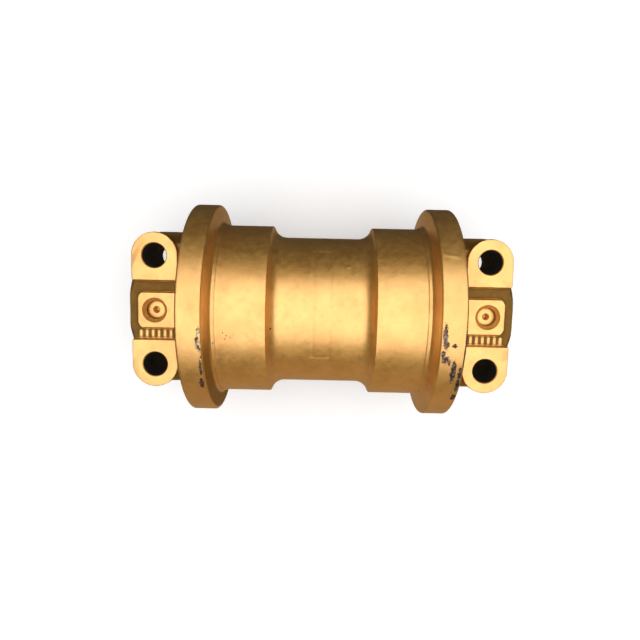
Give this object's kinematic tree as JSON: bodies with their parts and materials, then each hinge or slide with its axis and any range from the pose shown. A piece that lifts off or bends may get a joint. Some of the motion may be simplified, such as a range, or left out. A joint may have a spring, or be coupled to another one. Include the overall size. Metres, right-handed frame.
{
  "type": "track roller",
  "caption": "Flanged bottom roller for an excavator's crawler track, turning on a sealed fixed shaft between two bolt-on end collars.",
  "frame": {"origin": "middle of the roller on its spin axis", "axes": "+Y along the spin axis towards the oil plug end, +Z square to the four mounting pads and out of them, +X across the spin axis"},
  "size_m": [0.188, 0.333, 0.188],
  "materials": {
    "paint": "satin gold metallic paint over forged and cast steel, chipped at the flange edges",
    "steel": "ground and hardened steel",
    "bush_bronze": "machined bimetal bush, bronze on its running faces",
    "seal_iron": "lapped alloy cast iron seal ring",
    "seal_rubber": "black nitrile rubber",
    "washer_copper": "soft copper sealing washer"
  },
  "bodies": {
    "axle": {"shaft": "steel", "left_collar": "paint", "right_collar": "paint", "left_collar_seal_ring": "seal_iron", "right_collar_seal_ring": "seal_iron", "left_collar_toric_ring": "seal_rubber", "right_collar_toric_ring": "seal_rubber", "left_shaft_o_ring": "seal_rubber", "right_shaft_o_ring": "seal_rubber", "left_locking_pin": "steel", "right_locking_pin": "steel", "oil_plug": "steel", "plug_washer": "washer_copper"},
    "roller": {"roller_shell": "paint", "left_bush": "bush_bronze", "right_bush": "bush_bronze", "left_shell_seal_ring": "seal_iron", "right_shell_seal_ring": "seal_iron", "left_shell_toric_ring": "seal_rubber", "right_shell_toric_ring": "seal_rubber"}
  },
  "joints": [
    {"name": "shell_spin", "type": "hinge", "parent": "axle", "child": "roller", "pos_m": [0, 0, 0], "axis": [0, 1, 0], "continuous": true}
  ]
}
